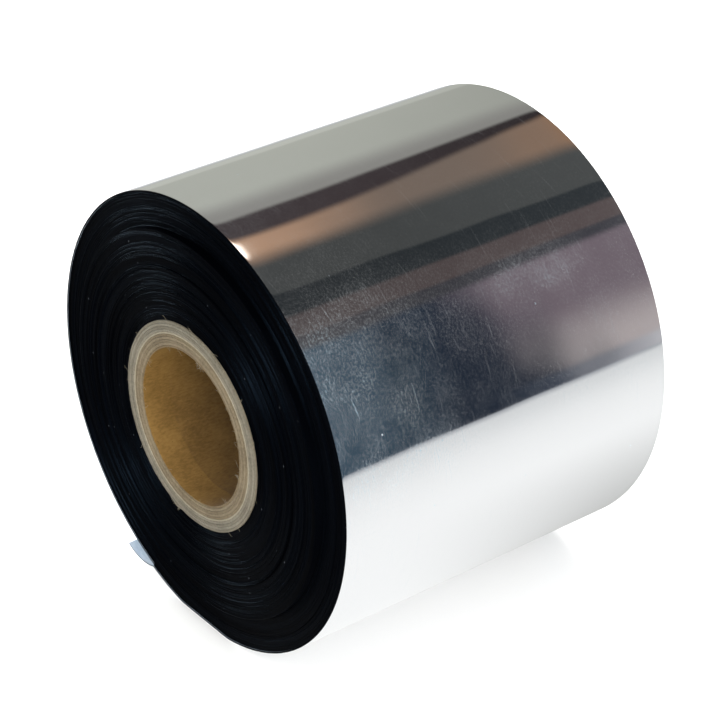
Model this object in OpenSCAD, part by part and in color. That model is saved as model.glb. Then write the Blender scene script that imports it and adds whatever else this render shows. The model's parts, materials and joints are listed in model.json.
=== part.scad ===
// A roll of mirror-faced foil tape on a laminated paper core.
// The roll lies on its side: its axis is Y, the end with the proud core faces -Y, and Z points up.
// The origin is on the axis, at the middle of the core's length.
// Angles round the roll are counted from +X towards +Z.

/* [Core] */
// Diameter of the hole through the core, for a one inch spindle
core_bore = 25.4; // [20:0.1:32]
// Length of the core from end to end
core_length = 63.5; // [50:0.5:90]
// Thickness of the kraft liner that faces the hole
liner_t = 0.4; // [0.2:0.05:0.8]
// Thickness of one ply of grey board
board_t = 0.45; // [0.3:0.05:0.6]
// Thickness of the cream ply inside the wall
cream_t = 0.3; // [0.15:0.05:0.6]
// Number of board plies between the liner and the cream ply
inner_plies = 4; // [2:1:6]
// Number of board plies outside the cream ply
outer_plies = 4; // [2:1:6]

/* [Winding] */
// Mean outside diameter of the wound roll
roll_d = 74; // [68:0.5:100]
// Width of the tape
tape_w = 62; // [40:0.5:80]
// Radial depth of the outer turns, from the mirror face down to the step
outer_turns_t = 5.7; // [3:0.1:9]
// How far the inner turns stand out past the outer turns
step_out = 1.2; // [0.4:0.1:3]
// How far the core stands out past the inner turns
core_out = 0.3; // [0.1:0.05:2]
// Radial depth of the turns between the core and the few turns that strayed sideways
first_turns_t = 8.2; // [3:0.1:12]
// Radial thickness of the strayed turns
stray_t = 0.5; // [0.2:0.1:0.9]
// How far the strayed turns stand out past their neighbours
stray_out = 0.15; // [0.05:0.05:0.3]

/* [Tape] */
// Thickness of the metal foil layer
foil_t = 0.15; // [0.1:0.05:0.4]
// Thickness of the adhesive layer under the foil
adhesive_t = 0.15; // [0.1:0.05:0.4]
// Length of the free tail
tail_length = 7; // [4:0.5:10]
// Radius to which the free tail curls
tail_curl_r = 8; // [6:0.5:30]
// Angle round the roll at which the tail leaves it
tail_at = 247; // [200:1:254]
// Angle by which the tail stands away from the roll at its fold
tail_lift = 43; // [20:1:50]
// Gap between the end of the last turn and the turn under it
tail_gap = 0.3; // [0.2:0.05:0.6]
// Gap at the fold between the last turn and the tail
fold_gap = 0.3; // [0.2:0.05:0.6]
// Length of the turn underneath that shows beside the fold
lead_gap = 1; // [0.6:0.1:3]
// Depth of the flat that the roll has settled on
flat_depth = 0.5; // [0.3:0.1:0.9]

/* [Hidden] */
$fn = 128;

function ply_name(group, i) = str(group, "_board_ply_", i);

kraft_brown = [0.55, 0.41, 0.22];
board_grey = [0.62, 0.56, 0.46];
cream = [0.78, 0.72, 0.6];
edge_black = [0.06, 0.07, 0.09];
mirror_silver = [0.86, 0.87, 0.88];
adhesive_pale = [0.66, 0.7, 0.74];

// Radii of the core, from the hole outwards
inner_board_r = core_bore / 2 + liner_t;
cream_r = inner_board_r + inner_plies * board_t;
outer_board_r = cream_r + cream_t;
core_r = outer_board_r + outer_plies * board_t;

// Radii at which the winding moves sideways
step_r = roll_d / 2 - outer_turns_t;
stray_r = core_r + first_turns_t;

// The outer turn follows a spiral of two half turns about two centres. Each turn climbs by the tape
// and by the gap under its end, and the second half turn is half a climb larger than the first.
tape_t = foil_t + adhesive_t;
turn_climb = tape_t + tail_gap;
centre_shift = turn_climb / 4;
half_climb = turn_climb / 2;
face_r = roll_d / 2 - centre_shift;
under_r = face_r - tape_t;
foil_r = under_r + adhesive_t;

// The tail folds at the outer face of the end of the turn
fold_r = face_r + half_climb + centre_shift;
fold_angle = fold_gap / tail_curl_r * 180 / PI;
tail_span = tail_length / tail_curl_r * 180 / PI;

// Distance from the axis to the flat under the roll
down = 270;
rest_r = face_r + half_climb + centre_shift * cos(down - tail_at) - flat_depth;

// Ends of the two runs, measured along the axis towards the proud end
inner_run_end = core_length / 2 - core_out;
outer_run_end = inner_run_end - step_out;
outer_run_start = outer_run_end - tape_w;

// Turns a shape drawn round Z on to its side, with its top towards -Y
module lay_on_side() {
    rotate([90, 0, 0])
        children();
}

// A plain tube of the core's length
module core_tube(r, wall) {
    lay_on_side()
        rotate_extrude()
            translate([r, -core_length / 2])
                square([wall, core_length]);
}

module kraft_liner() {
    color(kraft_brown)
        core_tube(core_bore / 2, liner_t);
}

module board_ply(first_r, i) {
    color(board_grey)
        core_tube(first_r + (i - 1) * board_t, board_t);
}

module cream_ply() {
    color(cream)
        core_tube(cream_r, cream_t);
}

// Half a disc on one side of the line from the axis to the fold
module half_disc(centre, r, side) {
    intersection() {
        translate([centre, 0])
            circle(r);
        translate([-2 * r, side < 0 ? -2 * r : 0])
            square([4 * r, 2 * r]);
    }
}

// A disc whose rim is one turn of the spiral and that has settled on its flat.
// r is the rim's radius in the first half turn.
module settled_disc(r) {
    layer_depth = face_r - r;
    intersection() {
        rotate(tail_at) {
            half_disc(-centre_shift, r, -1);
            half_disc(centre_shift, r + half_climb, 1);
        }
        translate([-roll_d, layer_depth - rest_r])
            square(2 * roll_d);
    }
}

// Strip beside the fold where the turn underneath shows
module lead_strip() {
    rotate(tail_at)
        translate([0, -lead_gap])
            square([roll_d, lead_gap]);
}

// The inner turns: a revolved block whose two ends follow the sideways shift of the turns
module inner_winding() {
    stray_end = stray_r + stray_t;
    bands = [[core_r, stray_r, 0], [stray_r, stray_end, stray_out], [stray_end, step_r, 0]];
    near_edge = [for (b = bands) each [[b[0], inner_run_end + b[2]], [b[1], inner_run_end + b[2]]]];
    far_edge = [for (p = near_edge) [p[0], p[1] - tape_w]];
    last = len(far_edge) - 1;
    color(edge_black)
        lay_on_side()
            rotate_extrude()
                polygon(concat(near_edge, [for (i = [last:-1:0]) far_edge[i]]));
}

// The outer turns, with the stretch of tape that shows beside the fold
module outer_winding() {
    color(edge_black)
        lay_on_side()
            translate([0, 0, outer_run_start])
                linear_extrude(tape_w)
                    difference() {
                        union() {
                            settled_disc(under_r);
                            intersection() {
                                settled_disc(face_r);
                                lead_strip();
                            }
                        }
                        circle(step_r);
                    }
}

// One layer of the last full turn, between two radii
module turn_layer(r_in, r_out) {
    lay_on_side()
        translate([0, 0, outer_run_start])
            linear_extrude(tape_w)
                difference() {
                    settled_disc(r_out);
                    settled_disc(r_in);
                    lead_strip();
                }
}

module outer_turn_adhesive() {
    color(adhesive_pale)
        turn_layer(under_r, foil_r);
}

module outer_turn_foil() {
    color(mirror_silver)
        turn_layer(foil_r, face_r);
}

// One layer of the tail: it stands away from the roll at the fold and curls back towards it
module tail_layer(r_in, r_out) {
    layer_depth = face_r - r_in;
    lay_on_side()
        rotate(tail_at)
            translate([fold_r, 0, outer_run_start])
                rotate(tail_lift)
                    translate([-tail_curl_r, 0])
                        rotate(-fold_angle - tail_span)
                            rotate_extrude(angle = tail_span)
                                translate([tail_curl_r - layer_depth, 0])
                                    square([r_out - r_in, tape_w]);
}

module tail_adhesive() {
    color(adhesive_pale)
        tail_layer(under_r, foil_r);
}

module tail_foil() {
    color(mirror_silver)
        tail_layer(foil_r, face_r);
}

// Point on a face of the last turn, at an angle of winding from the fold
function turn_point(r, wound) =
    let (second = wound > 180)
    let (centre = second ? centre_shift : -centre_shift)
    let (radius = second ? r + half_climb : r)
    [centre + radius * cos(wound), -radius * sin(wound)];

// Least gap between the start of the turn's outside and the end of its inside, on points near the fold
lead_angle = lead_gap / face_r * 180 / PI;
near_fold = 20;
point_step = 0.1;
start_points = [for (a = [lead_angle:point_step:near_fold]) turn_point(face_r, a)];
end_points = [for (a = [360 - near_fold:point_step:360]) turn_point(under_r, a)];
echo(least_gap_of_tape_to_itself = min([for (s = start_points) min([for (e = end_points) norm(s - e)])]));
echo(fold_at = [fold_r * cos(tail_at), fold_r * sin(tail_at)], rest_at = -rest_r);

kraft_liner();
for (i = [1:inner_plies])
    board_ply(inner_board_r, i);
cream_ply();
for (i = [1:outer_plies])
    board_ply(outer_board_r, i);
inner_winding();
outer_winding();
outer_turn_adhesive();
outer_turn_foil();
tail_adhesive();
tail_foil();
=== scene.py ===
# %% [markdown]
# A roll of mirror-faced foil tape lies on its side on a pale table. Its solids were made as CAD and are
# loaded here as a fixed frame. This lesson dresses them: each solid gets a mesh with the surface that the
# real piece has, and a finish that is built from shader nodes. Everything is in metres and in the frame's
# own axes: the roll's axis is Y, the end with the proud core faces -Y, and Z points up.

# %% Load the frame
import json
import math

import bmesh
import bpy
import numpy as np
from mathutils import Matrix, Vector


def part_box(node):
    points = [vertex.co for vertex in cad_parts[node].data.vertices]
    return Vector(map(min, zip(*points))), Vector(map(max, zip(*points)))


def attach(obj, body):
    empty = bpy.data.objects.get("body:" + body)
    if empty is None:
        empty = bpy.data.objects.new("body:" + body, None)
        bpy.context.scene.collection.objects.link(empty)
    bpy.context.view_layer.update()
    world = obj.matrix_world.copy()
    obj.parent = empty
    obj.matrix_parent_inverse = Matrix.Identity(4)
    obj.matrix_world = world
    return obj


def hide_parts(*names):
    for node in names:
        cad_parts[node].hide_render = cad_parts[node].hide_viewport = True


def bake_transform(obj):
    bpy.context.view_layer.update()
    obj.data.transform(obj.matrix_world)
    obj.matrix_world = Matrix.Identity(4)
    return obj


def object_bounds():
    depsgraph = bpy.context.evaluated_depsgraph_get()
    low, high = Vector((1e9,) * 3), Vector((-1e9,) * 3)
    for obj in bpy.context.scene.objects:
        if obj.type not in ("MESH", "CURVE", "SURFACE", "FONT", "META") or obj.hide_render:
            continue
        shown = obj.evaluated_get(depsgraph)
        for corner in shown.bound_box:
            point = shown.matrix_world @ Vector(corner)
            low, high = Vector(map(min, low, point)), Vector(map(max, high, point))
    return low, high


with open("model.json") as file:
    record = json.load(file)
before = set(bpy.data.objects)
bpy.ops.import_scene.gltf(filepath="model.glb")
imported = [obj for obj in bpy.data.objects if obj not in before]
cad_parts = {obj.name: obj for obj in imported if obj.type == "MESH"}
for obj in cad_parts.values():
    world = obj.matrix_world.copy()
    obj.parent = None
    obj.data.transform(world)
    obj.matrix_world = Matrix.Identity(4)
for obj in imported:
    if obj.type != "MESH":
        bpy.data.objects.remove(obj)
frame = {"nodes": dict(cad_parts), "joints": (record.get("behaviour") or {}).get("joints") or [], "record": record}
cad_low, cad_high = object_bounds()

mm = 0.001
print("CAD box in mm:", [round(side / mm, 2) for side in cad_high - cad_low])

# %% [markdown]
# The core is a paper tube: a brown liner, plies of grey board and one cream ply, rolled on each other.
# Its radii could be typed in again, but they are already in the frame, so they are read from there. Each
# ply starts where the one inside it ends, and the first starts at the hole.

# %% Radii of the core
mounts = {mount["name"]: mount for mount in frame["record"]["mounts"]}
core_plies = ["kraft_liner"]
core_plies += sorted(node for node in frame["nodes"] if node.startswith("inner_board"))
core_plies += ["cream_ply"]
core_plies += sorted(node for node in frame["nodes"] if node.startswith("outer_board"))

bore_r = mounts["core_bore"]["dims"]["r_mm"] * mm
ply_walls = {}
core_r = bore_r
for node in core_plies:
    outside_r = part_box(node)[1].x
    ply_walls[node] = (core_r, outside_r)
    core_r = outside_r
core_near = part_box("kraft_liner")[0].y
core_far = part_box("kraft_liner")[1].y
print(len(core_plies), "plies, from", bore_r / mm, "to", round(core_r / mm, 2), "mm")

# %% [markdown]
# The tape is wound in two runs. The inner turns stand a little further towards -Y than the outer ones, and
# a few turns among them strayed further still. The ends of the runs, the step between them and the strayed
# turns are measured on the solids, so the dressed pieces end where the solids end.

# %% Ends of the two runs
inner_low, inner_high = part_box("inner_winding")
outer_low, outer_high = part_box("outer_winding")
step_r = inner_high.x
tape_near = outer_low.y
tape_far = outer_high.y
tape_w = tape_far - tape_near
inner_far = inner_high.y
inner_near = inner_far - tape_w
stray_out = inner_near - inner_low.y

hair = 0.001 * mm
inner_points = [v.co for v in frame["nodes"]["inner_winding"].data.vertices]
stray_points = [point for point in inner_points if point.y < inner_low.y + hair]
stray_radii = [math.hypot(point.x, point.z) for point in stray_points]
stray_r = min(stray_radii)
stray_end_r = max(stray_radii)
print("step at", round(step_r / mm, 2), "mm, strayed turns from", round(stray_r / mm, 2), "mm")

# %% [markdown]
# The last turn of tape is a spiral, because a strip that is wound on itself climbs by its own thickness.
# The part draws it as two half circles about two centres, one on each side of the axis, on the line from
# the axis to the fold where the free end leaves. The joint gives the fold, and the widest point of the foil
# then gives how far the centres lie from the axis.

# %% The spiral of the last turn
tail_joint = frame["joints"][0]
fold_x, _, fold_z = tail_joint["pos_m"]
fold_r = math.hypot(fold_x, fold_z)
fold_at = math.atan2(fold_z, fold_x)
foil_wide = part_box("outer_turn_foil")[1].x
glue_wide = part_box("outer_turn_adhesive")[1].x
foil_t = foil_wide - glue_wide
glue_t = glue_wide - outer_high.x
tape_t = foil_t + glue_t
centre_shift = (fold_r - foil_wide) / (1 - math.cos(fold_at))
face_r = fold_r - 3 * centre_shift
rest_z = cad_low.z
settle_soft = 0.04 * mm


def turned(along, aside):
    """X and Z of a place that is measured along the line to the fold, and to the left of that line."""
    x = along * math.cos(fold_at) - aside * math.sin(fold_at)
    z = along * math.sin(fold_at) + aside * math.cos(fold_at)
    return x, z


def turn_place(depth, wound):
    """X and Z on the last turn, at a depth under its face and at an angle wound back from the fold."""
    second_half = wound > math.pi
    centre = np.where(second_half, centre_shift, -centre_shift)
    radius = face_r - depth + np.where(second_half, 2 * centre_shift, 0)
    x, z = turned(centre + radius * np.cos(wound), -radius * np.sin(wound))
    below = rest_z + depth - z
    return x, z + (below + np.sqrt(below * below + settle_soft * settle_soft)) / 2


print("centres", round(centre_shift / mm, 3), "mm from the axis, face radius", round(face_r / mm, 2), "mm")

# %% [markdown]
# The camera stands where the photographer's did: to the right of the axis and above it, looking at the
# middle of the tape's width. Its angles, its distance and its long lens were found by laying the roll's two
# end circles over the photograph. It is about 40 cm away, so the far end looks a little smaller.

# %% Camera at the photograph's angle
view_azimuth = math.radians(52.12)
view_elevation = math.radians(30.44)
view_distance = 409.8 * mm
view_lens = 129.6
sensor_wide = 36
nearest_seen = 10 * mm
middle_y = (tape_near + tape_far) / 2
aim_right = 0.16 * mm
aim_up = 0.11 * mm

level_part = math.cos(view_elevation)
back_x = math.sin(view_azimuth) * level_part
back_y = -math.cos(view_azimuth) * level_part
view_back = Vector((back_x, back_y, math.sin(view_elevation)))
camera = bpy.data.objects.new("camera", bpy.data.cameras.new("camera"))
camera.data.sensor_width = sensor_wide
camera.data.lens = view_lens
camera.data.clip_start = nearest_seen
view_right = Vector((0, 0, 1)).cross(view_back).normalized()
aim = Vector((0, middle_y, 0)) + view_right * aim_right + view_back.cross(view_right) * aim_up
camera.location = aim + view_back * view_distance
camera.rotation_euler = view_back.to_track_quat("Z", "Y").to_euler()
bpy.context.scene.collection.objects.link(camera)
bpy.context.scene.camera = camera
bpy.context.scene.view_settings.view_transform = "Standard"
print("camera at", [round(place / mm, 1) for place in camera.location], "mm")

# %% [markdown]
# Finishes are built from nodes, and a long formula in nodes is hard to read. This small class wraps the
# output of one node, so that a formula can be written as Python: each operator adds a Math node. Colours go
# through a Mix node and vectors through Vector Math, because a Math node would turn a colour grey.

# %% Shader maths as Python
speck_soft = 0.05


class Shade:
    """One output of a shader node. Operators add Math nodes, and add() makes any other node."""

    def __init__(self, tree, node=None, output=0):
        self.tree = tree
        self.node = node
        self.output = output

    def add(self, kind, settings=(), sockets=(), output=0):
        """Makes a node, sets its settings, then gives its sockets their values or links."""
        node = self.tree.nodes.new("ShaderNode" + kind)
        for name, value in dict(settings).items():
            setattr(node, name, value)
        for name, value in dict(sockets).items():
            self.feed(node.inputs[name], value)
        return Shade(self.tree, node, output)

    def feed(self, socket, value):
        """Links an output to a socket, or sets the socket to a plain value."""
        if isinstance(value, Shade):
            self.tree.links.new(value.node.outputs[value.output], socket)
        else:
            socket.default_value = value

    def out(self, output):
        """Another output of the same node."""
        return Shade(self.tree, self.node, output)

    def maths(self, operation, *values):
        """A Math node with these values."""
        return self.add("Math", {"operation": operation}, enumerate(values))

    def __add__(self, other):
        return self.maths("ADD", self, other)

    def __radd__(self, other):
        return self.maths("ADD", other, self)

    def __sub__(self, other):
        return self.maths("SUBTRACT", self, other)

    def __rsub__(self, other):
        return self.maths("SUBTRACT", other, self)

    def __mul__(self, other):
        return self.maths("MULTIPLY", self, other)

    def __rmul__(self, other):
        return self.maths("MULTIPLY", other, self)

    def __truediv__(self, other):
        return self.maths("DIVIDE", self, other)

    def __rtruediv__(self, other):
        return self.maths("DIVIDE", other, self)

    def size(self):
        """This value without its sign."""
        return self.maths("ABSOLUTE", self)

    def rise(self, low, high):
        """0 where this value is at low, 1 where it is at high, and a smooth step between them."""
        ends = {"Value": self, "From Min": low, "From Max": high}
        return self.add("MapRange", {"interpolation_type": "SMOOTHSTEP"}, ends)

    def between(self, first, second):
        """A colour that goes from the first to the second as this value goes from 0 to 1."""
        return self.add("Mix", {"data_type": "RGBA"}, {0: self, 6: first, 7: second}, 2)

    def stretched(self, factors):
        """A vector multiplied side by side with three numbers."""
        return self.add("VectorMath", {"operation": "MULTIPLY"}, {0: self, 1: factors})

    def noise(self, scale, detail=2.0, harshness=0.5):
        """Cloudy noise, from 0 to 1, over this vector."""
        sockets = {"Vector": self, "Scale": scale, "Detail": detail, "Roughness": harshness}
        return self.add("TexNoise", sockets=sockets)

    def specks(self, scale, reach, rare):
        """1 in specks scattered over this vector. rare is the share of the cells that have no speck."""
        cell = self.add("TexVoronoi", sockets={"Vector": self, "Scale": scale})
        drawn = cell.out("Color")
        return cell.rise(reach, reach - speck_soft) * drawn.maths("GREATER_THAN", drawn, rare)

    def sides(self):
        """The X, Y and Z of this vector, as outputs."""
        return self.add("SeparateXYZ", sockets={0: self})

    def bumped(self, deep, strength):
        """A normal that follows this height, whose full range is deep metres."""
        return self.add("Bump", {}, {"Strength": strength, "Distance": deep, "Height": self})


def chip(red, green, blue):
    """The linear colour that shaders use, of a colour as a screen shows it, from 0 to 255."""
    shares = [value / 255 for value in (red, green, blue)]
    linear = [s / 12.92 if s <= 0.04045 else ((s + 0.055) / 1.055) ** 2.4 for s in shares]
    return (*linear, 1.0)


print("middle grey on a screen is", round(chip(128, 128, 128)[0], 3), "in light")

# %% [markdown]
# A mirror has no colour of its own: what it shows is the room. In the photograph the foil shows bands that
# run along the roll: a white table, a dark cloth that stands at the table's right edge, a wooden rail, a
# grey beam, a warm shade and a grey wall. They could be painted on the foil, but then they would not move
# with the eye. Here they are cards in the world around the roll, told apart by the angle round its axis.

# %% Angles of the cards round the roll
foil_shine = 0.92
lean_at = 40


def on_foil(foil_angle):
    """X and Z of the foil's face at an angle round the roll, in degrees."""
    return face_r * math.cos(math.radians(foil_angle)), face_r * math.sin(math.radians(foil_angle))


def seen_on_foil(foil_angle):
    """The angle round the axis, in degrees, of what the camera sees in the foil at an angle on the foil."""
    x, z = on_foil(foil_angle)
    to_camera = math.degrees(math.atan2(camera.location.z - z, camera.location.x - x))
    return 2 * foil_angle - to_camera


def reflected_lean(y):
    """How far a ray from the camera leans along the axis after the foil has turned it, at a place in Y."""
    x, z = on_foil(lean_at)
    return (Vector((x, y, z)) - camera.location).normalized().y


near_lean = reflected_lean(tape_near)
far_lean = reflected_lean(tape_far)
print("rays lean", round(near_lean, 3), "at the near end and", round(far_lean, 3), "at the far end")

# %% [markdown]
# Each card is a band of one colour that starts at an angle on the foil and goes up to the next one. Seen from
# other sides than the photograph's, the foil also shows what stands behind the camera, so a plain room is
# there as well. It is only bands by height, because nobody can say what was there.

# %% Cards, and the room behind the camera
# Each card: its name, the angle on the foil where it starts, at the near end and at the far end, how soft
# that edge is, its colour, and how bright its far end is beside its near end
cards = [
    ("shelf_shadow", 43.2, 43.8, 2.0, chip(48, 48, 53), 1.5),
    ("wooden_rail", 46.4, 46.4, 1.0, chip(68, 60, 60), 1.5),
    ("dark_gap", 51.2, 51.2, 1.0, chip(36, 40, 43), 1.4),
    ("grey_beam", 57.0, 56.0, 0.8, chip(62, 64, 64), 1.3),
    ("warm_shade", 66.8, 67.4, 5.5, chip(168, 134, 109), 0.62),
    ("dark_stripe", 73.5, 79.8, 2.6, chip(60, 53, 55), 0.5),
    ("wall_foot", 80.4, 82.2, 1.6, chip(134, 133, 129), 0.95),
    ("grey_wall", 86.0, 87.0, 8.0, chip(167, 169, 161), 0.8),
    ("upper_wall", 107.6, 107.6, 1.2, chip(181, 183, 175), 0.82),
    ("ceiling", 117.0, 119.0, 5.0, chip(216, 217, 214), 0.68),
]
# The room behind the camera: each band from the floor up, how high it starts as the sine of its elevation,
# how soft that edge is, and its colour
floor_behind = chip(216, 216, 214)
room_bands = [
    ("skirting", -0.06, 0.02, chip(52, 58, 68)),
    ("rail", 0.20, 0.015, chip(100, 86, 78)),
    ("wall", 0.26, 0.03, chip(140, 141, 138)),
    ("pale_panel", 0.66, 0.10, chip(214, 214, 210)),
    ("ceiling", 0.90, 0.05, chip(182, 183, 179)),
]


def room_behind(height):
    """The colour of the room behind the camera, at a height from -1, straight down, to 1, straight up."""
    colour = floor_behind
    for _, starts_at, soft, band in room_bands:
        colour = height.rise(starts_at - soft, starts_at + soft).between(colour, band)
    return colour


print(len(cards), "cards stand round the roll, and", len(room_bands), "bands of a room behind the camera")

# %% [markdown]
# Below the first card the foil shows a dark cloth at its near half, a wall beside the cloth at its far half,
# and the wall's pale foot. Cards of one colour would look flat here, so each of the three goes from one
# colour to another. Places along the roll are shares of the tape's width, from its near edge.

# %% Below the cards
slate_cloth = chip(36, 60, 77)
navy_cloth = chip(18, 29, 44)
cloth_turns_navy = (0.0, 0.42)
mauve_wall = chip(107, 96, 104)
tan_board = chip(166, 157, 157)
wall_mauve_at = 33
wall_tan_at = 19
wall_starts = (0.48, 0.78)
wall_slant = 0.0045
wall_upright_at = 30
foot_near = chip(50, 58, 72)
foot_far = chip(172, 171, 176)
foot_top_at = 18.4
foot_full_at = 16.2
foot_starts = (0.5, 0.66)
foot_pales = (0.62, 1.06)


def below_cards(around, along):
    """The colour between the table and the first card, at an angle round the axis and along the roll."""
    cloth = along.rise(*cloth_turns_navy).between(slate_cloth, navy_cloth)
    wall = around.rise(seen_on_foil(wall_mauve_at), seen_on_foil(wall_tan_at)).between(mauve_wall, tan_board)
    slant = (around - seen_on_foil(wall_upright_at)) * wall_slant
    colour = (along + slant).rise(*wall_starts).between(cloth, wall)
    foot = around.rise(seen_on_foil(foot_top_at), seen_on_foil(foot_full_at)) * along.rise(*foot_starts)
    return foot.between(colour, along.rise(*foot_pales).between(foot_near, foot_far))


print("the cloth ends", wall_starts[0], "to", wall_starts[1], "of the way along the roll")

# %% [markdown]
# A card covers all that is above its edge, and the next card covers it in turn, so they are laid over each
# other in the order of the list. An edge may lie at another angle at the far end, and a card may get lighter
# or darker towards it. The last one is no card but a small lamp past the near end, which shows only as a
# glint on the foil's rolled rim.

# %% Cards over each other
cards_change = (0.1, 1.1)
warm_middle = chip(112, 99, 90)
middle_starts = (-0.05, 0.45)
middle_ends = (1.1, 0.6)
lamp_light = (2.6, 2.2, 1.9, 1.0)
lamp_at = 70.0
lamp_round = (7, 2)
lamp_starts = (-0.1, -0.4)
lamp_ends = (-1.4, -1.2)


def dimmed(colour, share):
    """A colour with a share of its light."""
    return (*[light * share for light in colour[:3]], 1.0)


def with_cards(colour, around, along):
    """A colour with every card over it, from its own edge upwards."""
    share = along.rise(*cards_change)
    in_middle = along.rise(*middle_starts) * along.rise(*middle_ends)
    for name, near_edge, far_edge, soft, near_colour, far_light in cards:
        near_at = seen_on_foil(near_edge)
        edge = near_at + share * (seen_on_foil(far_edge) - near_at)
        over = (around - edge).rise(-soft, soft)
        card = share.between(near_colour, dimmed(near_colour, far_light))
        if name == "warm_shade":
            card = in_middle.between(card, warm_middle)
        colour = over.between(colour, card)
    return colour


def with_lamp(colour, around, along):
    """A colour with the lamp over it, which stands past the roll's near end."""
    from_lamp = (around - seen_on_foil(lamp_at)).size()
    lamp = from_lamp.rise(*lamp_round) * along.rise(*lamp_starts) * along.rise(*lamp_ends)
    return lamp.between(colour, lamp_light)


print("the lamp's middle is", round(seen_on_foil(lamp_at)), "degrees round the axis")

# %% [markdown]
# The world's colour is worked out for the direction of each ray: its angle round the axis picks the card, and
# its lean along the axis says where along the roll it is seen. A ray from the camera itself gets a pale
# backdrop instead. The foil gives back a little less light than it gets, so the world is that much brighter.

# %% The world
backdrop = chip(252, 252, 252)
room_starts = (-1.5, -4.0)
count_from = -60


def studio_colour(start):
    """The colour of the world in each direction."""
    direction = start.add("TexCoord").out("Generated").sides()
    turn = direction.maths("ARCTAN2", direction.out("Z"), direction.out("X"))
    around = turn.maths("WRAP", turn * (180 / math.pi), count_from + 360, count_from)
    along = (direction.out("Y") - near_lean) / (far_lean - near_lean)
    colour = with_cards(below_cards(around, along), around, along)
    colour = with_lamp(colour, around, along)
    return along.rise(*room_starts).between(colour, room_behind(direction.out("Z")))


world = bpy.data.worlds.new("studio")
world.use_nodes = True
bpy.context.scene.world = world
world_start = Shade(world.node_tree)
background = world.node_tree.nodes["Background"]
seen_by_camera = world_start.add("LightPath").out("Is Camera Ray")
world_start.feed(background.inputs["Color"], seen_by_camera.between(studio_colour(world_start), backdrop))
background.inputs["Strength"].default_value = 1 / foil_shine
print("the world has", len(world.node_tree.nodes), "nodes")

# %% [markdown]
# A finish is a material. Its shader gets a link for what varies over the piece and a plain value for what
# doesn't. These helpers make a material, set its shader, and give the place of each point in millimetres, so
# that a grain or a fibre can be given its real size.

# %% Helpers for finishes
def new_finish(name):
    """A new material, and the start of its shader maths."""
    material = bpy.data.materials.new(name)
    material.use_nodes = True
    return material, Shade(material.node_tree)


def set_shader(start, sockets):
    """Gives the material's shader its links and its constant values."""
    shader = start.tree.nodes["Principled BSDF"]
    for name, value in sockets.items():
        start.feed(shader.inputs[name], value)


def in_mm(start):
    """The place of each point in the roll's frame, in millimetres."""
    return start.add("TexCoord").out("Object").stretched((1 / mm, 1 / mm, 1 / mm))


print("finishes are measured in units of", mm, "m")

# %% [markdown]
# The roll lies on a plain pale table. One wide plane would do for the eye, but the foil would then show it
# out to the horizon. In the photograph the white in the foil ends at a straight line. So the eye has one
# plane, which the foil doesn't show, and the foil has a narrower one just above it. Where that one ends comes
# from the ray that the camera sends to the foil at the line's angle.

# %% Where the table ends in the foil
white_ends_right = 14


def table_end(foil_angle):
    """X where the ray that the foil turns away at an angle, in degrees, comes down on the table."""
    x, z = on_foil(foil_angle)
    return x + (z - rest_z) / -math.tan(math.radians(seen_on_foil(foil_angle)))


table_right = table_end(white_ends_right)
table_left = -table_right
print("the table goes from", round(table_left / mm), "to", round(table_right / mm), "mm in X")

# %% [markdown]
# The eye's table is nearly even white. The foil's table is greyer to the sides, at its rim and in the roll's
# own shade under the far end. It could be lit by the panels, but then every change of a lamp would change the
# mirror too, so it is a card with its own light. Its shades change over millimetres from the axis to the
# side, or along it.

# %% Finishes of the table
rim_starts_right = 12.4
under_roll = (70, 10)
to_far_end = (-12, 50)
to_sides = (40, 210)
table_white = chip(244, 245, 245)
under_white = chip(185, 186, 185)
side_white = chip(209, 211, 212)
rim_grey = chip(152, 155, 161)


def pale_floor():
    """The table as the camera sees it: white, with a faint mottle."""
    material, start = new_finish("pale_floor")
    mottle = start.add("TexCoord").out("Object").noise(14, 3)
    set_shader(start, {
        "Base Color": mottle.between(chip(240, 240, 239), chip(244, 244, 244)),
        "Roughness": 0.7 + mottle * 0.1,
        "Specular IOR Level": 0.05,
    })
    return material


def table_in_foil():
    """The table as the foil shows it: white, greyer to the sides, at its rim and under the roll's far end."""
    material, start = new_finish("table_in_foil")
    place = in_mm(start).sides()
    beside = place.out("X").size()
    under = beside.rise(*under_roll) * place.out("Y").rise(*to_far_end)
    white = beside.rise(*to_sides).between(under.between(table_white, under_white), side_white)
    rim = beside.rise(table_end(rim_starts_right) / mm, table_right / mm)
    set_shader(start, {
        "Base Color": (0, 0, 0, 1),
        "Specular IOR Level": 0,
        "Emission Color": rim.between(white, rim_grey),
        "Emission Strength": 1 / foil_shine,
    })
    return material


floor_finish = pale_floor()
foil_table_finish = table_in_foil()
print("finishes:", floor_finish.name, "and", foil_table_finish.name)

# %% [markdown]
# An object's ray switches then say who sees it: the floor is hidden from mirrors, and the foil's table
# from everything else, so that it throws no shadow and no light on the roll's dull pieces.

# %% Floor
floor_reach = 1.0
card_above = 0.02 * mm


def floor_plane(name, left, right, level, finish):
    """A level rectangle that stays where it is when the roll moves."""
    corners = [(left, -floor_reach), (right, -floor_reach), (right, floor_reach), (left, floor_reach)]
    mesh = bpy.data.meshes.new(name)
    mesh.from_pydata([(x, y, level) for x, y in corners], [], [(0, 1, 2, 3)])
    mesh.materials.append(finish)
    plane = bpy.data.objects.new(name, mesh)
    bpy.context.scene.collection.objects.link(plane)
    return plane


floor = floor_plane("floor", -floor_reach, floor_reach, rest_z, floor_finish)
floor.visible_glossy = False
foil_table = floor_plane("foil_table", table_left, table_right, rest_z + card_above, foil_table_finish)
foil_table.visible_camera = False
foil_table.visible_diffuse = False
foil_table.visible_shadow = False
print("the foil's table lies", card_above / mm, "mm above the floor")

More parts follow.
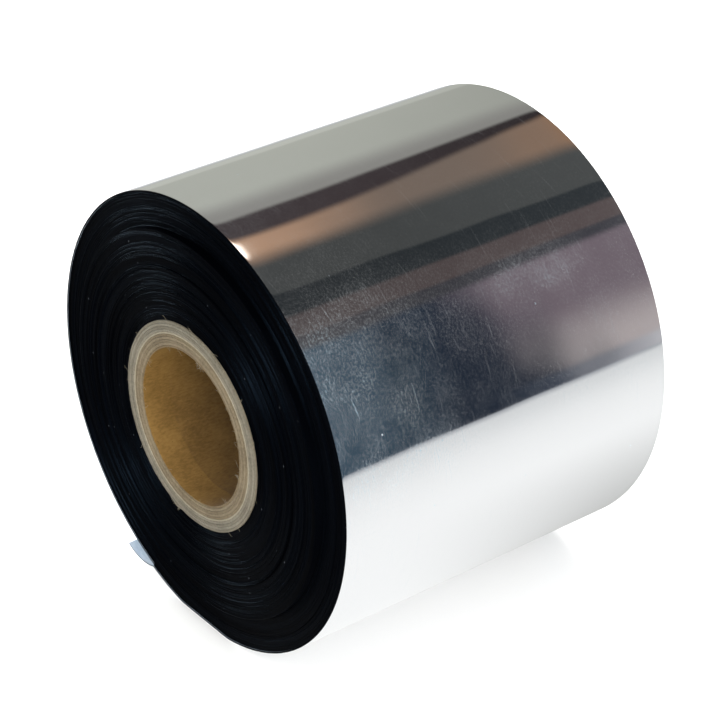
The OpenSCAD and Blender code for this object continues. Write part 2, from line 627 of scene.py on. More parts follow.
# %% [markdown]
# The light is soft. Wide panels overhead, on both sides and in front light the floor and the paper, and fill
# the shadow under the roll. Mirrors and black gloss would show them as bright patches, which the photograph
# doesn't have, so they are hidden from glossy rays. Three small panels do the opposite: only what shines sees
# them. They rake across the two black ends, so that the rings catch the light as the grooves of a record do.

# %% Soft lights
rake_blue = (0.62, 0.82, 1.0)


def softbox(name, place, width, height, watts):
    """A lamp with a wide face, in metres, that looks at the roll."""
    lamp = bpy.data.lights.new(name, "AREA")
    lamp.shape = "RECTANGLE"
    lamp.size = width
    lamp.size_y = height
    lamp.energy = watts
    box = bpy.data.objects.new(name, lamp)
    box.location = place
    box.rotation_euler = Vector(place).to_track_quat("Z", "Y").to_euler()
    bpy.context.scene.collection.objects.link(box)
    return box


panels = [
    softbox("overhead_panel", (0, 0, 1.7), 3.2, 3.2, 36),
    softbox("right_panel", (0.92, -0.16, 0.40), 0.9, 0.8, 12),
    softbox("left_panel", (-0.92, 0.30, 0.45), 0.8, 0.8, 15),
    softbox("front_panel", (0.55, -0.62, 0.45), 1.1, 0.8, 4),
]
for panel in panels:
    panel.visible_glossy = False

rakes = [
    softbox("left_rake", (-0.82, -0.16, 0.0), 0.4, 0.05, 8),
    softbox("front_rake", (0.08, -0.87, 0.24), 0.3, 0.3, 48),
    softbox("back_rake", (-0.30, 0.82, 0.24), 0.3, 0.3, 30),
]
for rake in rakes:
    rake.visible_diffuse = False
    rake.data.color = rake_blue
print(len(panels), "panels light the table and the paper, and", len(rakes), "rake the black ends")

# %% [markdown]
# Every piece of this roll is a strip or a ring, so its mesh is a grid of points: rows one way, columns the
# other. These helpers turn such a grid into faces, make the object, and note on each point where it lies on
# the real piece, as a named attribute that the finish can read. Normals are turned outward at the end, and
# edges sharper than the given angle stay crisp.

# %% Grids into pieces
usual_crisp = 40


def quads(grid):
    """Faces between the neighbouring rows and columns of a grid of point numbers."""
    corners = [grid[:-1, :-1], grid[:-1, 1:], grid[1:, 1:], grid[1:, :-1]]
    return np.stack(corners, axis=-1).reshape(-1, 4)


def closed_grid(rows, columns):
    """Point numbers of a grid whose last row and column join its first."""
    grid = np.arange(rows * columns).reshape(rows, columns)
    grid = np.concatenate([grid, grid[:, :1]], axis=1)
    return np.concatenate([grid, grid[:1]], axis=0)


def make_piece(name, points, faces, finishes, crisp=usual_crisp):
    """An object from points and faces, with smooth shading except at edges sharper than crisp degrees."""
    mesh = bpy.data.meshes.new(name)
    mesh.from_pydata(points.reshape(-1, 3).tolist(), [], faces.tolist())
    for finish in finishes:
        mesh.materials.append(finish)
    shape = bmesh.new()
    shape.from_mesh(mesh)
    bmesh.ops.recalc_face_normals(shape, faces=shape.faces)
    shape.to_mesh(mesh)
    shape.free()
    mesh.shade_smooth()
    mesh.set_sharp_from_angle(angle=math.radians(crisp))
    piece = bpy.data.objects.new(name, mesh)
    bpy.context.scene.collection.objects.link(piece)
    return piece


def loop(radius, y, angles):
    """Points of one loop round the axis, with a radius and a place in Y at each angle."""
    return np.stack([radius * np.cos(angles), y + 0 * angles, radius * np.sin(angles)], axis=-1)


def ring_piece(name, loops, finishes, crisp=usual_crisp):
    """A closed ring from its loops, of which the last joins the first."""
    points = np.array(loops)
    return make_piece(name, points, quads(closed_grid(*points.shape[:2])), finishes, crisp)


def note(piece, name, vectors):
    """Keeps a vector for each point of a piece, under a name, for its finish to read."""
    layer = piece.data.attributes.new(name, "FLOAT_VECTOR", "POINT")
    layer.data.foreach_set("vector", vectors.astype(np.float32).ravel())


def dress(piece, node):
    """The piece stands for a solid of the roll and moves with the roll."""
    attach(piece, "roll")
    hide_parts(node)
    print(piece.name, "has", len(piece.data.polygons), "faces")


def ring_noise(draw, angles, first_wave, last_wave):
    """A random height round a ring, about 0 with a spread of 1, from whole waves so that it closes."""
    counts = np.arange(first_wave, last_wave + 1)
    heights = draw.normal(size=len(counts))
    phases = draw.uniform(0, 2 * math.pi, len(counts))
    waves = heights[:, None] * np.sin(counts[:, None] * angles + phases[:, None])
    return waves.sum(axis=0) / np.sqrt((heights * heights).sum() / 2)


print("a closed grid of 3 rows and 4 columns has", len(quads(closed_grid(3, 4))), "faces")

# %% [markdown]
# Grey board is made from pulped paper. Close up it is a felt of short fibres with darker and lighter flecks,
# and a cut edge is rough and dull. A picture of board could be laid on it, but noise in three dimensions
# runs through the edge and the wall alike, as the fibres do. The cream and the kraft paper are the same felt
# in other colours, so one function makes all of them. Noise scales are counts in a millimetre.

# %% Paper finishes
felt_deep = 0.05 * mm


def paper_finish(name, dark, light, fleck, fleck_share):
    """Felted paper: a cloudy mix of two colours, fibres, dark flecks, and a rough dull face."""
    material, start = new_finish(name)
    place = in_mm(start)
    cloud = place.noise(0.22, 3)
    fibre = place.stretched((1.0, 0.35, 1.0)).noise(3.2, 5, 0.65)
    felt = (cloud * 0.55 + fibre * 0.75).rise(0.35, 0.95)
    flecks = place.noise(2.1, 4, 0.7).rise(0.62, 0.72) * fleck_share
    relief = place.noise(4.5, 6, 0.7) + fibre * 0.6
    set_shader(start, {
        "Base Color": flecks.between(felt.between(dark, light), fleck),
        "Roughness": 0.78 + fibre * 0.2,
        "Normal": relief.bumped(felt_deep, 0.55),
        "Specular IOR Level": 0.08,
    })
    return material


warm_board = paper_finish("warm_board", chip(90, 78, 58), chip(122, 108, 84), chip(67, 54, 37), 0.5)
warm_pale = paper_finish("warm_board_pale", chip(99, 86, 66), chip(131, 117, 93), chip(75, 63, 45), 0.5)
grey_board = paper_finish("grey_board", chip(89, 82, 68), chip(119, 111, 95), chip(66, 58, 46), 0.5)
grey_pale = paper_finish("grey_board_pale", chip(98, 91, 77), chip(130, 123, 107), chip(75, 67, 54), 0.5)
cream_finish = paper_finish("cream_paper", chip(132, 122, 101), chip(152, 143, 123), chip(103, 90, 70), 0.5)
kraft_finish = paper_finish("kraft_paper", chip(97, 72, 33), chip(130, 100, 52), chip(70, 49, 23), 0.6)
kraft_edge = paper_finish("kraft_cut_edge", chip(88, 73, 50), chip(118, 101, 74), chip(66, 51, 33), 0.5)
print("paper finishes: two tones each of warm and grey board, cream, kraft and its cut edge")

# %% [markdown]
# A ply of the core is a thin tube. A plain tube would do inside the wall, but its two cut ends show: a saw
# leaves each ply a little lower or higher than the next, furry, and worn round at its corners. So each ply
# is its own closed ring, whose ends follow a short profile with a random height round the ring.

# %% One ply of the core
core_proud = inner_near - core_near
ply_columns = 360
ply_angles = np.linspace(0, 2 * math.pi, ply_columns, endpoint=False)
worn = 0.1 * mm
saw_scatter = 0.07 * mm
fur = 0.018 * mm
fur_aside = 0.4
saw_wave = 0.012 * mm
half_profile = [(0, core_proud), (0, worn), (0.1, 0.35 * worn), (0.3, 0)]
cut_profile = half_profile + [(0.5, 0)] + [(1 - share, depth) for share, depth in half_profile[::-1]]


def cut_loops(wall, draw, lift):
    """Loops of radius and depth over one cut end of a ply, from its inner wall to its outer wall."""
    r_in, r_out = wall
    saw = saw_scatter * draw.uniform(0.1, 1.0) + saw_wave * ring_noise(draw, ply_angles, 1, 6)
    loops = []
    for share, depth in cut_profile:
        rough = fur * ring_noise(draw, ply_angles, 12, 110)
        buried = 1 if depth == core_proud else 0
        set_back = depth + (1 - buried) * np.maximum(saw + rough, 0)
        radius = r_in + share * (r_out - r_in) + (1 - buried) * (fur_aside * rough * (share - 0.5) + lift)
        loops.append((radius, set_back))
    return loops


def paper_ply(node, finish, seed, lift=0.0):
    """One ply as a closed ring of paper. lift leans its near edge outward, in metres at each angle."""
    draw = np.random.default_rng(seed)
    near = [(radius, core_near + depth) for radius, depth in cut_loops(ply_walls[node], draw, lift)]
    far = [(radius, core_far - depth) for radius, depth in cut_loops(ply_walls[node], draw, 0.0)]
    loops = [loop(radius, y, ply_angles) for radius, y in near + far[::-1]]
    dress(ring_piece(node + "_paper", loops, [finish]), node)


print("a cut end of a ply has", len(cut_profile), "loops")

# %% [markdown]
# At the lower left of the near end the outermost ply has come unstuck: a sliver of it leans out over the
# winding and leaves a dark slit behind. Only the part of the ply that stands proud of the winding can lean,
# so the lean starts at the winding's level and is largest at the cut edge.

# %% Board and cream plies
sliver_at = math.radians(254)
sliver_half = math.radians(6)
sliver_lean = 0.42 * mm
from_sliver = np.angle(np.exp(1j * (ply_angles - sliver_at))) / sliver_half
sliver = sliver_lean * np.where(np.abs(from_sliver) < 1, np.cos(from_sliver * math.pi / 2) ** 2, 0)
last_ply = core_plies[-1]

for seed, node in enumerate(core_plies[1:], start=1):
    if node == "cream_ply":
        paper_ply(node, cream_finish, seed)
    else:
        tones = (warm_board, warm_pale) if node.startswith("inner") else (grey_pale, grey_board)
        paper_ply(node, tones[seed % 2], seed, sliver if node == last_ply else 0.0)

# %% [markdown]
# The liner is the first strip of kraft paper that the core maker winds on the mandrel. It goes round as a
# helix, so its two edges meet in a fine groove that climbs through the hole. A straight tube with a groove
# drawn on it would need the groove to cross the mesh. Here the columns of the mesh climb with the strip
# instead, so the first and the last column are the strip's own edges. Its cut ends are greyer than its face.

# %% Kraft liner in the hole
strip_w = 45 * mm
climb_angle = math.asin(strip_w / (2 * math.pi * bore_r))
helix_pitch = 2 * math.pi * bore_r * math.tan(climb_angle)
seam_at = math.radians(20)
seam_deep = 0.1 * mm
seam_half = 0.3 * mm
liner_columns = np.linspace(0, 2 * math.pi, 241)
seam_columns = np.array([0.1, 0.25, 0.45, 0.7]) * mm / bore_r
liner_columns = np.unique(np.concatenate([liner_columns, seam_columns, 2 * math.pi - seam_columns]))
seam_open = 1e-5
liner_columns = np.clip(liner_columns, seam_open, 2 * math.pi - seam_open)
dent = 0.01 * mm
lip = 0.02 * mm
fray = 0.02 * mm
cut_back = 0.05 * mm
cut_rows = [0, 1, -3, -2]
hole_rows = 63


def liner_wall(draw):
    """Radius of the hole's wall round one loop: faint dents in the paper, and the groove at its edges."""
    from_edge = np.minimum(liner_columns, 2 * math.pi - liner_columns) * bore_r
    groove = seam_deep * np.exp(-(from_edge / seam_half) ** 2)
    dents = dent * (1 + np.tanh(ring_noise(draw, liner_columns, 2, 40)))
    return bore_r + groove + dents


def kraft_liner():
    """The liner: over its near cut end, through the hole and over its far cut end."""
    draw = np.random.default_rng(40)
    outside = np.full(len(liner_columns), ply_walls["kraft_liner"][1])
    levels = np.linspace(core_near + core_proud, core_far - core_proud, hole_rows)
    frays = [fray * (1 + ring_noise(draw, liner_columns, 10, 90)) for _ in range(2)]
    near_cut = core_near + cut_back + np.maximum(frays[0], 0)
    far_cut = core_far - cut_back - np.maximum(frays[1], 0)
    middle = (bore_r + outside) / 2
    rows = [(outside, near_cut + worn), (middle, near_cut), (liner_wall(draw) + lip, near_cut + worn / 2)]
    rows += [(liner_wall(draw), y + 0 * outside) for y in levels]
    rows += [(liner_wall(draw) + lip, far_cut - worn / 2), (middle, far_cut), (outside, far_cut - worn)]
    loops = []
    for radius, y in rows:
        angles = seam_at + liner_columns + 2 * math.pi * (y - core_near) / helix_pitch
        loops.append(loop(radius, y, angles))
    piece = ring_piece("kraft_liner_paper", loops, [kraft_finish, kraft_edge])
    on_cut = np.zeros((len(rows), len(liner_columns)), np.int32)
    on_cut[cut_rows] = 1
    piece.data.polygons.foreach_set("material_index", on_cut.ravel())
    dress(piece, "kraft_liner")


kraft_liner()
print("the seam climbs", round(helix_pitch / mm, 1), "mm in a turn")

# %% [markdown]
# The wound ends are the cut edges of hundreds of turns of film. They look black, because light goes in
# between the turns and doesn't come out, and they shine in rings. The finish reads each point's place on the
# ring, so that its streaks run round with the turns: fast changes from turn to turn, slow ones along a turn.

# %% Black wound edges
ink_black = (0.0003, 0.0004, 0.0008, 1)
ink_blue = (0.0012, 0.0017, 0.0028, 1)
# The grey of the dust specks, and of the painted sheen along the turns
dust_and_sheen_grey = (0.10, 0.11, 0.125, 1)
ring_deep = 0.05 * mm


def noted(start, name):
    """The vector that each point of a piece keeps under a name."""
    return start.add("Attribute", {"attribute_name": name}).out("Vector")


def wound_finish():
    """Black film edges: ink in rings, a little dust, and a thin sheen along the turns, partly painted as paler
    streaks.
    """
    material, start = new_finish("wound_edge_black")
    ring = noted(start, "ring")
    place = in_mm(start)
    turns = ring.stretched((1.6, 1.6, 5.0)).noise(1.0, 4, 0.6)
    bands = ring.stretched((0.7, 0.7, 0.9)).noise(1.0, 2).rise(0.3, 0.75)
    smear = place.noise(0.16, 3).rise(0.4, 0.75)
    # Dust specks, plus a painted sheen: paler streaks where the turns and the smear meet
    dust_and_sheen = place.specks(0.55, 0.10, 0.72) * 0.55 + (turns.rise(0.6, 0.85) * smear) * 0.05
    relief = ring.stretched((1.2, 1.2, 16.0)).noise(1.0, 2)
    set_shader(start, {
        "Base Color": dust_and_sheen.between(bands.between(ink_black, ink_blue), dust_and_sheen_grey),
        "Roughness": 0.22 + turns * 0.13 + smear * 0.10,
        "Normal": relief.bumped(ring_deep, 1.0),
        "Specular IOR Level": 0.0042,
        "Specular Tint": (0.6, 0.8, 1.0, 1),
    })
    return material


black_finish = wound_finish()
print("finish:", black_finish.name)

# %% [markdown]
# The rings are real shape as well. A winding could be one ring with a bump in its finish, but then its edge
# would be straight when seen from the side. So each end is a row of small ridges, a crest and a valley for
# every few turns. Most crests lie level, some stand proud and draw the fine light circles that show in the
# photograph. The heights drift slowly round the roll, because no turn is wound quite true.

# %% Ridges of a wound end
ridge_pitch = 0.21 * mm
crest_back = 0.045 * mm
valley_deep = 0.065 * mm
proud_share = 0.08
drift_share = 0.14
level_crests = (0.92, 1.0)
proud_crests = (0.0, 0.2)
valleys = (0.85, 1.0)


def ridges(depth, draw, angles):
    """Shares across a wound end, and how far each is set back at each angle."""
    count = max(3, round(depth / ridge_pitch))
    shares = np.linspace(0, 1, 2 * count + 1)
    set_back = []
    for i in range(len(shares)):
        crests = level_crests if draw.uniform() > proud_share else proud_crests
        crest = crest_back * draw.uniform(*crests)
        valley = crest_back + valley_deep * draw.uniform(*valleys)
        waves = int(draw.integers(1, 4))
        drift = 1 + drift_share * np.sin(waves * angles + draw.uniform(0, 2 * math.pi))
        set_back.append((crest if i % 2 else valley) * drift)
    return shares, set_back


def ring_place(points):
    """Where points lie on a ring: the direction from the axis, and the radius in millimetres."""
    x = points[..., 0]
    z = points[..., 2]
    radius = np.hypot(x, z)
    return np.stack([x / radius, z / radius, radius / mm], axis=-1)


print("ridges are", ridge_pitch / mm, "mm apart")

# %% [markdown]
# The inner run is one closed ring of ridges: over the near end from the core to the step, and back over the
# far end. The strayed turns are a band of their own, because they stand out at one end and in at the other.

# %% Inner turns
wound_columns = 288
ridge_crisp = 65
wound_angles = np.linspace(0, 2 * math.pi, wound_columns, endpoint=False)


def inner_turns():
    """The inner run: three bands of ridges at each end, of which the middle one strayed towards -Y."""
    draw = np.random.default_rng(70)
    bands = [(core_r, stray_r, 0), (stray_r, stray_end_r, stray_out), (stray_end_r, step_r, 0)]
    near = []
    far = []
    for r_in, r_out, out in bands:
        for rows, end, inward in ((near, inner_near, 1), (far, inner_far, -1)):
            shares, set_back = ridges(r_out - r_in, draw, wound_angles)
            for share, back in zip(shares, set_back):
                radius = r_in + share * (r_out - r_in)
                rows.append((radius, end - out + inward * back))
    loops = [loop(radius, y, wound_angles) for radius, y in near + far[::-1]]
    piece = ring_piece("inner_winding_turns", loops, [black_finish], ridge_crisp)
    note(piece, "ring", ring_place(np.array(loops)))
    dress(piece, "inner_winding")


inner_turns()

# %% [markdown]
# The outer run follows the spiral of the last turn: its ridges are round at the step and lean over to the
# spiral and to the flat under the roll as they go out. Its columns go from the fold once round and back to
# the fold, where the spiral has climbed by one turn, and stop a hair short so that no face has no area.

# %% Outer turns
fold_short = 5e-4
turn_columns = np.linspace(fold_short, 2 * math.pi - fold_short, 361)


def outer_turns():
    """The outer run: ridges at each end, from the step out to the inside of the last turn."""
    draw = np.random.default_rng(71)
    rim_x, rim_z = turn_place(tape_t, turn_columns)
    step_x, step_z = turned(step_r * np.cos(turn_columns), -step_r * np.sin(turn_columns))
    loops = []
    for end, inward in ((tape_near, 1), (tape_far, -1)):
        shares, set_back = ridges(face_r - tape_t - step_r, draw, turn_columns)
        end_loops = []
        for share, back in zip(shares, set_back):
            x = step_x + share * (rim_x - step_x)
            z = step_z + share * (rim_z - step_z)
            end_loops.append(np.stack([x, end + inward * back, z], axis=-1))
        loops += end_loops[::inward]
    piece = ring_piece("outer_winding_turns", loops, [black_finish], ridge_crisp)
    note(piece, "ring", ring_place(np.array(loops)))
    dress(piece, "outer_winding")


outer_turns()

# %% [markdown]
# The face of the tape is a metal mirror. It isn't perfect: sliding on the next turn has drawn fine scratches
# round the roll, handling has left dull patches towards the near end and one smudge, and there is dust. All
# of this is worked out from how far along and across the strip a point lies, so it goes round with the tape.

# %% Wear of the mirror
def along_strip(foil_angle):
    """Millimetres along the strip to the foil's face at an angle round the roll, below 0 before the fold."""
    return -math.radians(math.degrees(fold_at) % 360 - foil_angle) * face_r / mm


rubbed_along = along_strip(28)
rubbed_half = 14.0
rubbed_soft = 5.0
near_half_over = (-1, -32)
smudge_along = along_strip(41.5)
smudge_across = 12.0
smudge_long = 3.2
smudge_wide = 9.0
scratch_tilt = 0.16


def dull_patches(strip):
    """How dull the mirror is: in the rubbed band, most of all in its near half, and in the smudge."""
    place = strip.sides()
    from_rubbed = (place.out("X") - rubbed_along).size()
    rubbed = from_rubbed.rise(rubbed_half + rubbed_soft, rubbed_half - rubbed_soft)
    near_half = place.out("Y").rise(*near_half_over)
    clouds = strip.noise(0.07, 3).rise(0.3, 0.7)
    blotches = strip.noise(0.22, 3).rise(0.32, 0.68)
    dull = (0.20 + rubbed * 0.80) * (0.26 + near_half * 0.74) * (0.25 + clouds * 0.45 + blotches * 0.45)
    smudge_x = (place.out("X") - smudge_along) / smudge_long
    smudge_y = (place.out("Y") - smudge_across) / smudge_wide
    smudge = (smudge_x * smudge_x + smudge_y * smudge_y).rise(1.8, 0.1)
    return dull + smudge * (0.10 + blotches * 0.30)


def scratches(strip):
    """Long fine scratches: some along the tape, and some at a small angle to it."""
    tilted = strip.add("VectorRotate", {"rotation_type": "Z_AXIS"}, {"Vector": strip, "Angle": scratch_tilt})
    slanting = tilted.stretched((0.16, 3.2, 1)).noise(1.0, 1, 0.4).rise(0.70, 0.75)
    straight = strip.stretched((0.10, 3.6, 1)).noise(1.0, 1, 0.4).rise(0.70, 0.75)
    return slanting + straight


print("the rubbed band lies", round(-rubbed_along), "mm back along the strip from the fold")

# %% [markdown]
# Marks could be painted over the mirror in grey, but they would look like paint. Worn metal scatters a little
# of its light instead. So where it is worn, the finish is a little rougher, less metallic and bluer, and what
# it mirrors shows through.

# %% Mirror foil
clean_metal = (foil_shine, 0.925, 0.93, 1)
worn_metal = (0.55, 0.82, 0.95, 1)
wear_deep = 0.01 * mm


def mirror_finish():
    """A metal mirror with streaks, scuffs, scratches and dust where it is worn."""
    material, start = new_finish("mirror_foil")
    strip = noted(start, "strip")
    dull = dull_patches(strip)
    streaks = strip.stretched((0.7, 4.2, 1)).noise(1.0, 5, 0.65).rise(0.47, 0.72)
    scuffs = strip.stretched((2.2, 3.4, 1)).noise(1.0, 4, 0.75).rise(0.45, 0.70)
    speck = strip.specks(0.5, 0.09, 0.82)
    wear = (0.12 + streaks * 0.34 + scuffs * 0.84) * dull + scratches(strip) * (0.05 + dull * 0.5)
    tinted = (wear * 0.8 + speck * 0.5).rise(0, 1)
    set_shader(start, {
        "Base Color": tinted.between(clean_metal, worn_metal),
        "Metallic": 1 - wear * 0.20 - speck * 0.12,
        "Roughness": 0.05 + wear * 0.14 + speck * 0.25,
        "Normal": (speck - wear * 0.6).bumped(wear_deep, 0.05),
    })
    return material


foil_finish = mirror_finish()
print("finish:", foil_finish.name)

# %% [markdown]
# Under the metal lies the adhesive. It shows only inside the lifted free end, pale and bluish, with a soft
# gloss. A plain colour would look like paint there, so it has streaks where it let go of the turn below.

# %% Adhesive
glue_deep = 0.03 * mm


def adhesive_finish():
    """Pale adhesive with streaks along the tape and soft patches."""
    material, start = new_finish("pale_adhesive")
    strip = noted(start, "strip")
    pulled = strip.stretched((0.8, 3.0, 1)).noise(1.0, 4, 0.6)
    patches = strip.noise(0.35, 3)
    tone = (pulled * 0.6 + patches * 0.5).rise(0.3, 0.8)
    set_shader(start, {
        "Base Color": tone.between(chip(126, 138, 150), chip(158, 168, 178)),
        "Roughness": 0.28 + pulled * 0.3,
        "Normal": pulled.bumped(glue_deep, 0.3),
    })
    return material


glue_finish = adhesive_finish()
print("finish:", glue_finish.name)

# %% [markdown]
# A layer of tape is a strip with a thickness. It could be a flat plane bent by a modifier, but the strip has
# to follow the spiral to a few hundredths of a millimetre, so its points are worked out: rows along the
# tape, columns across it, once for its outer face and once for its inner face. Film on a roll is never quite
# smooth, so the mirror has faint ripples, sums of long waves, which make its reflections waver.

# %% Strips of tape
strip_columns = np.linspace(tape_near, tape_far, 49)
edge_columns = np.array([0.05, 0.15, 0.35, 0.65, 1.0]) * mm
strip_columns = np.concatenate([strip_columns, tape_near + edge_columns, tape_far - edge_columns])
strip_columns = np.sort(strip_columns)
ripple_waves = 14
ripple_height = 0.0014 * mm
ripple_mm = (8, 26)
edge_roll = 0.006 * mm
edge_curl = 0.02 * mm
roll_reach = 0.06 * mm
curl_reach = 0.9 * mm


def ripple(along, across):
    """Depth of the film's ripples, from 0, at a place along and across the strip."""
    draw = np.random.default_rng(11)
    depth = np.full(np.broadcast(along, across).shape, float(ripple_waves))
    for _ in range(ripple_waves):
        length = draw.uniform(*ripple_mm) * mm
        heading = draw.uniform(0, math.pi)
        run = along * math.cos(heading) + across * math.sin(heading)
        depth = depth + np.sin(2 * math.pi * run / length + draw.uniform(0, 2 * math.pi))
    return depth * ripple_height


def mirror_depth(along, across):
    """Depth of the mirror face under the drawn face: ripples, and edges that curl in and roll over."""
    to_edge = np.minimum(across - tape_near, tape_far - across)
    curled = edge_curl * np.exp(-to_edge / curl_reach)
    return ripple(along, across) + curled + edge_roll * np.exp(-to_edge / roll_reach)


def strip_piece(name, outer, inner, along, finishes):
    """A strip of tape from the points of its two faces. Its cut edges take the second finish."""
    rows, columns = outer.shape[:2]
    upper = np.arange(rows * columns).reshape(rows, columns)
    lower = upper + rows * columns
    ends = [quads(np.stack([upper[i], lower[i]])) for i in (0, -1)]
    sides = [quads(np.stack([upper[:, i], lower[:, i]])) for i in (0, -1)]
    faces = np.concatenate([quads(upper), quads(lower), *ends, *sides])
    points = np.concatenate([outer, inner])
    piece = make_piece(name, points, faces, finishes)
    edge_faces = sum(len(side) for side in sides)
    on_edge = np.zeros(len(faces), np.int32)
    on_edge[-edge_faces:] = 1
    piece.data.polygons.foreach_set("material_index", on_edge)
    across = points[..., 1] / mm
    along = np.concatenate([along, along])[:, None] / mm + 0 * across
    note(piece, "strip", np.stack([along, across, 0 * across], axis=-1))
    note(piece, "ring", ring_place(points))
    return piece


print(len(strip_columns), "columns across the tape")

# %% [markdown]
# The last turn is two such strips, the metal on the adhesive. They share the face between them, so no gap
# shows at their cut edges, which are black like the rest of the wound end.

# %% The last turn
turn_rows = np.linspace(0, 2 * math.pi, 721)


def turn_face(depth):
    """Points of one face of the last turn, at a depth for each row and column."""
    wound = turn_rows[:, None] + 0 * strip_columns
    x, z = turn_place(depth, wound)
    return np.stack([x, strip_columns + 0 * wound, z], axis=-1)


turn_along = -turn_rows * face_r
level_depth = np.zeros((len(turn_rows), len(strip_columns)))
mirror = turn_face(mirror_depth(turn_along[:, None], strip_columns))
foil_back = turn_face(level_depth + foil_t)
glue_back = turn_face(level_depth + tape_t)
last_turn = strip_piece("outer_turn_mirror", mirror, foil_back, turn_along, [foil_finish, black_finish])
dress(last_turn, "outer_turn_foil")
last_glue = strip_piece("outer_turn_glue", foil_back, glue_back, turn_along, [glue_finish, black_finish])
dress(last_glue, "outer_turn_adhesive")

# %% [markdown]
# The free end of the tape stands away from the roll at the fold and curls back towards it. The outer face of
# the solid is a circle that goes through the fold, and a point p on such a circle has p.p = 2 p.c, so its
# centre c comes from a small set of linear equations.

# %% Curl of the free end
def from_fold(node):
    """Points of a solid, measured from the fold: along the line from the axis, and to the left of it."""
    points = [v.co for v in frame["nodes"][node].data.vertices]
    x, z = np.array([(point.x - fold_x, point.z - fold_z) for point in points]).T
    along = x * math.cos(fold_at) + z * math.sin(fold_at)
    aside = z * math.cos(fold_at) - x * math.sin(fold_at)
    return np.stack([along, aside], axis=-1)


foil_points = from_fold("tail_foil")
glue_points = from_fold("tail_adhesive")
to_glue = np.linalg.norm(foil_points[:, None] - glue_points, axis=-1).min(axis=1)
outer_face = foil_points[to_glue > foil_t / 2]
curl_centre = np.linalg.lstsq(2 * outer_face, (outer_face ** 2).sum(axis=1), rcond=None)[0]
curl_r = math.hypot(*curl_centre)
tail_lift = math.atan2(-curl_centre[1], -curl_centre[0])
face_chords = np.linalg.norm(outer_face, axis=1)
fold_turn = 2 * math.asin(face_chords.min() / 2 / curl_r)
tail_turn = 2 * math.asin(face_chords.max() / 2 / curl_r)
print("free end is", round(tail_turn * curl_r / mm, 2), "mm long, curled to", round(curl_r / mm, 2), "mm")

# %% [markdown]
# Between the roll and the fold's far side the strip turns smoothly by the fold's angle, so it bends and
# doesn't break. A plain curl would look like tin: on the real tape the cut end isn't quite straight, and the
# film flutters a little towards it.

# %% Shape of the free end
flutter = 0.07 * mm
long_wave = 21 * mm
short_wave = 9 * mm
cut_wave = 47 * mm
short_share = 0.6
cut_slant = 0.12 * mm
cut_phase = 0.6


def tail_place(depth, turn):
    """X and Z on the free end, at a depth under its face and at an angle past the fold."""
    share = np.clip(turn / fold_turn, 0, 1)
    lift = tail_lift * share * share * (3 - 2 * share)
    along = (curl_r - depth) * np.cos(turn) - curl_r
    aside = -(curl_r - depth) * np.sin(turn)
    lifted_along = along * np.cos(lift) - aside * np.sin(lift)
    lifted_aside = along * np.sin(lift) + aside * np.cos(lift)
    return turned(fold_r + lifted_along, lifted_aside)


def tail_face(depth, rows):
    """Points of one face of the free end: a slightly crooked cut, and a flutter that grows towards it."""
    share = (rows / tail_turn)[:, None]
    crooked = cut_slant / curl_r * np.sin(strip_columns * 2 * math.pi / cut_wave + cut_phase)
    turn = rows[:, None] - share ** 4 * np.abs(crooked)
    wave = np.sin(strip_columns * 2 * math.pi / long_wave)
    wave = wave + short_share * np.sin(strip_columns * 2 * math.pi / short_wave)
    x, z = tail_place(depth - flutter * share ** 2 * wave / (1 + short_share), turn)
    return np.stack([x, strip_columns + 0 * turn, z], axis=-1)


print("the film flutters by", flutter / mm, "mm at its cut end")

# %% [markdown]
# The free end has the same two layers as the last turn. Its rows lie close together at the fold, so that the
# bend is round.

# %% Layers of the free end
tail_rows = np.concatenate([np.linspace(0, fold_turn, 7)[:-1], np.linspace(fold_turn, tail_turn, 49)])
tail_along = tail_rows * curl_r
blend_x, blend_z = tail_place(0, np.array(fold_turn))


def tail_layer(name, outer_depth, inner_depth, finishes, node):
    """One layer of the free end, between two depths under its face, which bends at the fold."""
    outer = tail_face(outer_depth, tail_rows)
    inner = tail_face(inner_depth, tail_rows)
    piece = strip_piece(name, outer, inner, tail_along, finishes)
    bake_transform(piece)
    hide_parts(node)
    print(name, "has", len(piece.data.polygons), "faces")


tail_layer("tail_mirror", 0, foil_t, [foil_finish, black_finish], "tail_foil")
tail_layer("tail_glue", foil_t, tape_t, [glue_finish, glue_finish], "tail_adhesive")

# %% [markdown]
# Sawn paper sheds fibres. A few hang over the edge of the hole and some lie on the winding. They are too
# thin for the mesh of a ply, so they are short curves with a round section, bent at random and made into one
# mesh. All lie inside the core's ends, because the winding and the hole leave room there.

# %% One fibre
fibre_r = 0.016 * mm
fibre_long = (0.35 * mm, 1.1 * mm)
fibre_back = (0.06 * mm, 0.26 * mm)
fibre_wave = 0.02 * mm
most_lean = 0.9
most_curl = 0.8
fibre_steps = np.linspace(-0.25, 1, 5)


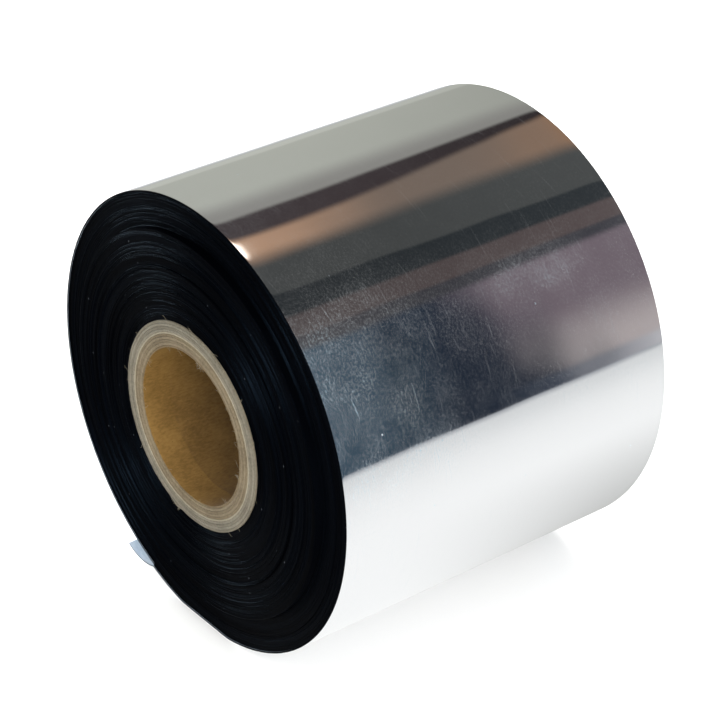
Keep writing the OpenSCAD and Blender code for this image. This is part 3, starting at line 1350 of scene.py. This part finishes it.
def fibre_path(draw, angle, radius, way):
    """Points of one fibre, which is rooted in a paper edge, leaves it inward or outward, and curls."""
    length = draw.uniform(*fibre_long)
    lean = draw.uniform(-most_lean, most_lean)
    curl = draw.uniform(-most_curl, most_curl)
    level = core_near + draw.uniform(*fibre_back)
    path = []
    for step in fibre_steps:
        r = radius + way * length * step * math.cos(lean)
        side = length * step * (math.sin(lean) + curl * step)
        at = angle + side / radius
        path.append((r * math.cos(at), level + fibre_wave * math.sin(3 * step), r * math.sin(at)))
    return path


print("a fibre has", len(fibre_steps), "points")

# %% [markdown]
# Two tufts hang into the hole where the photograph shows them, and a third sits at the sliver of the last
# ply. The rest are scattered round both edges of the core, more of them in the hole.

# %% Fibres at the core's edges
scattered = 46
in_hole_share = 0.6
# Each tuft: its angle in degrees, the edge it grows from, inward or outward, and how many fibres it has
tufts = [(75, bore_r, -1, 9), (347, bore_r, -1, 7), (254, core_r, 1, 6)]
tuft_spread = 2.5


def core_fibres():
    """All fibres in one mesh: the tufts first, then the scattered ones."""
    draw = np.random.default_rng(90)
    places = []
    for angle, radius, way, count in tufts:
        spread = np.radians(draw.normal(angle, tuft_spread, count))
        places += [(at, radius, way) for at in spread]
    for at in draw.uniform(0, 2 * math.pi, scattered):
        places.append((at, bore_r, -1) if draw.uniform() < in_hole_share else (at, core_r, 1))
    curve = bpy.data.curves.new("core_fibres", "CURVE")
    curve.dimensions = "3D"
    curve.bevel_depth = fibre_r
    curve.bevel_resolution = 1
    curve.use_fill_caps = True
    for at, radius, way in places:
        line = curve.splines.new("POLY")
        path = fibre_path(draw, at, radius, way)
        line.points.add(len(path) - 1)
        for point, place in zip(line.points, path):
            point.co = (*place, 1)
    drawn = bpy.data.objects.new("fibre_lines", curve)
    bpy.context.scene.collection.objects.link(drawn)
    ready = drawn.evaluated_get(bpy.context.evaluated_depsgraph_get())
    mesh = bpy.data.meshes.new_from_object(ready)
    mesh.name = "core_fibres"
    piece = bpy.data.objects.new("core_fibres", mesh)
    bpy.data.objects.remove(drawn)
    bpy.context.scene.collection.objects.link(piece)
    piece.data.materials.clear()
    piece.data.materials.append(cream_finish)
    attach(piece, "roll")
    print(len(places), "fibres")


core_fibres()
